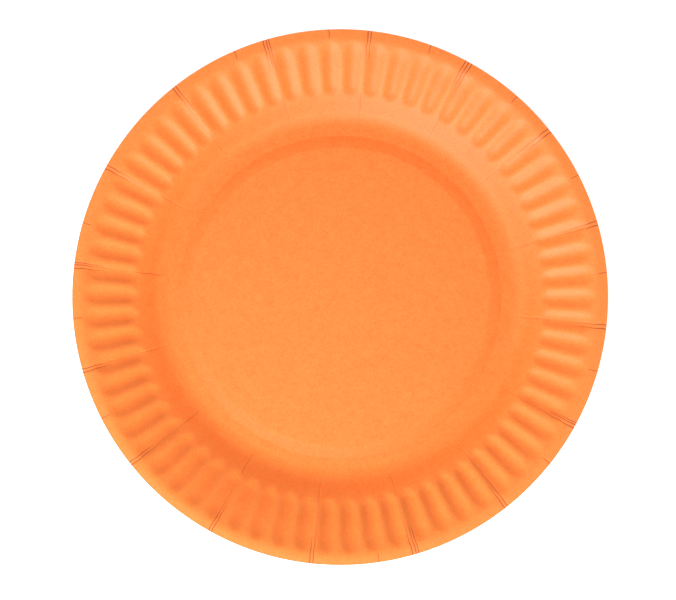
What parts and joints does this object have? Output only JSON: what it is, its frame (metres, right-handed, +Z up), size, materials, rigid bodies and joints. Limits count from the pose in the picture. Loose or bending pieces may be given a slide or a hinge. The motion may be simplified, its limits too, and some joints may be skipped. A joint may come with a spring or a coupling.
{
  "type": "paper plate",
  "caption": "Round shallow plate pressed from one sheet of board, with a raised centre panel, a foot ring, a sloping wall, a fluted brim that levels out towards its edge, and a thin pleated lip.",
  "frame": {"origin": "centre of the plate on the plane that the foot ring rests on", "axes": "+Z up along the plate's axis, out of the side that food lies on; +X and +Y lie in the resting plane"},
  "size_m": [0.23, 0.23, 0.0156],
  "materials": {
    "board": "matt, orange all through the printed side"
  },
  "bodies": {
    "root": {"plate": "board"}
  },
  "joints": []
}
